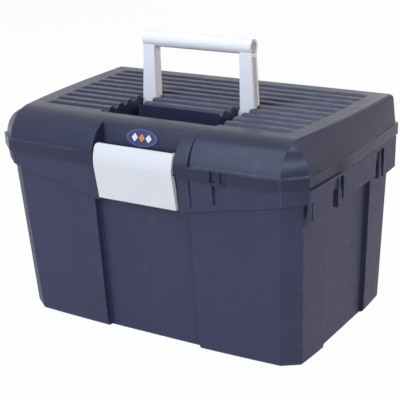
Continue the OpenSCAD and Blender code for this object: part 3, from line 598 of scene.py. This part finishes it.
# %% [markdown]
# ## Steel pins
# The pivots are drawn steel wire. Drawing leaves fine lines along the wire, so the grain is stretched along
# its length. An anisotropic shader could do the same, but a noise also breaks up the shine. The pins sit in
# their bores and little of them shows, so the solids themselves get the steel and need no rounding.

# %% Pins
line_mm = 0.4
line_stretch = 0.05


def drawn_steel(name):
    """Bright steel wire with lines along it, drawn coarser than real ones so that they show."""
    material, tree = new_material(name)
    place = add_node(tree, "ShaderNodeTexCoord").outputs["Object"]
    stretched = add_node(tree, "ShaderNodeMapping", Vector=place, Scale=(line_stretch, 1, 1))
    lines = add_node(tree, "ShaderNodeTexNoise", Vector=stretched, Scale=per_size(line_mm), Detail=3.0)
    gloss = add_node(
        tree, "ShaderNodeMapRange", Value=lines, From_Min=0.3, From_Max=0.7, To_Min=0.25, To_Max=0.42,
    )
    relief = add_node(tree, "ShaderNodeBump", Height=lines, Strength=0.15, Distance=0.05 * mm)
    steel = add_node(
        tree, "ShaderNodeBsdfPrincipled",
        Base_Color=linear("#b4b6b9"), Metallic=1.0, Roughness=gloss, Normal=relief,
    )
    add_node(tree, "ShaderNodeOutputMaterial", Surface=steel)
    return material


wire_steel = drawn_steel("drawn_steel_wire")
pin_names = ["handle_pin_left", "handle_pin_right", "latch_pin", "hinge_pin_left", "hinge_pin_right"]
for pin_name in pin_names:
    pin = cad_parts[pin_name]
    pin.data.materials.clear()
    pin.data.materials.append(wire_steel)
print("Pins:", len(pin_names))

# %% [markdown]
# ## The badge
# A thin oval sticker of printed vinyl sits on the panel above the latch. Its print is a plain pattern: a
# paler line inside the rim and a row of three lozenges. A picture could be laid over the oval, but nodes draw
# the pattern crisp at any size. One Mapping node turns the leaning oval upright, and a second one makes it a
# circle of radius 1, so that the pattern is written in shares of the oval.

# %% Printed vinyl
badge_lean = math.radians(16)
badge_length = 42.0 * mm
badge_height = 20.0 * mm
rim_line_radius = 0.86
rim_line_reach = 0.04
cell_half = 0.21
row_half = 3 * cell_half
lozenge_reach = 0.19
lozenge_rise = 0.46


def printed_vinyl(name, middle):
    """Glossy blue vinyl with a paler line inside its rim and three lozenges in a row."""
    material, tree = new_material(name)
    place = add_node(tree, "ShaderNodeTexCoord").outputs["Object"]
    upright = badge_lean - math.pi / 2
    shift = -(Matrix.Rotation(upright, 3, "X") @ middle)
    flat = add_node(tree, "ShaderNodeMapping", Vector=place, Location=shift, Rotation=(upright, 0, 0))
    circle = add_node(tree, "ShaderNodeMapping", Vector=flat, Scale=(2 / badge_length, 2 / badge_height, 0))
    radius = add_node(tree, "ShaderNodeVectorMath", {"operation": "LENGTH"}, _0=circle).outputs["Value"]
    rim_line = add_node(
        tree, "ShaderNodeMath", {"operation": "COMPARE"}, _0=radius, _1=rim_line_radius, _2=rim_line_reach,
    )

    # A row of equal cells, and in each of the middle three a lozenge
    shares = add_node(tree, "ShaderNodeSeparateXYZ", Vector=circle)
    along = add_node(tree, "ShaderNodeMath", {"operation": "ABSOLUTE"}, _0=shares.outputs["X"])
    across = add_node(tree, "ShaderNodeMath", {"operation": "ABSOLUTE"}, _0=shares.outputs["Y"])
    cell = add_node(
        tree, "ShaderNodeMath", {"operation": "WRAP"}, _0=shares.outputs["X"], _1=cell_half, _2=-cell_half,
    )
    in_cell = add_node(tree, "ShaderNodeMath", {"operation": "ABSOLUTE"}, _0=cell)
    length_share = add_node(tree, "ShaderNodeMath", {"operation": "DIVIDE"}, _0=in_cell, _1=lozenge_reach)
    height_share = add_node(tree, "ShaderNodeMath", {"operation": "DIVIDE"}, _0=across, _1=lozenge_rise)
    slant = add_node(tree, "ShaderNodeMath", {"operation": "ADD"}, _0=length_share, _1=height_share)
    in_lozenge = add_node(tree, "ShaderNodeMath", {"operation": "LESS_THAN"}, _0=slant, _1=1.0)
    in_row = add_node(tree, "ShaderNodeMath", {"operation": "LESS_THAN"}, _0=along, _1=row_half)
    in_middle = add_node(tree, "ShaderNodeMath", {"operation": "LESS_THAN"}, _0=along, _1=cell_half)
    lozenge = add_node(tree, "ShaderNodeMath", {"operation": "MULTIPLY"}, _0=in_lozenge, _1=in_row)

    # White and orange lozenges on the blue ground, and the line over both
    mix = {"data_type": "RGBA"}
    ink = add_node(tree, "ShaderNodeMix", mix, _0=in_middle, _6=linear("#dcdce6"), _7=linear("#d9793a"))
    row = add_node(tree, "ShaderNodeMix", mix, _0=lozenge, _6=linear("#232552"), _7=ink.outputs[2])
    lined = add_node(tree, "ShaderNodeMix", mix, _0=rim_line, _6=row.outputs[2], _7=linear("#4a4f80"))
    vinyl = add_node(
        tree, "ShaderNodeBsdfPrincipled", Base_Color=lined.outputs[2],
        Roughness=0.28, IOR=1.5, Specular_IOR_Level=0.4,
    )
    add_node(tree, "ShaderNodeOutputMaterial", Surface=vinyl)
    return material


print("The badge is", round(badge_length / mm), "by", round(badge_height / mm), "mm")

# %% Badge
badge_low, badge_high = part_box("front_badge")
badge_vinyl = printed_vinyl("printed_vinyl", (badge_low + badge_high) / 2)
badge = copy_of("front_badge", "badge_disc")
dress(badge, "lid", ["front_badge"], "badge", badge_vinyl, badge_vinyl)
round_edges(badge, 0.2 * mm)

# %% [markdown]
# ## Sizes and the end
# The size of the dressed box is printed, to be set beside the size of the frame.

# %% Write the sizes and finish
look_low, look_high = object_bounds()
look_size = [round((high - low) / mm, 1) for low, high in zip(look_low, look_high)]
print("The dressed box measures", look_size, "mm")
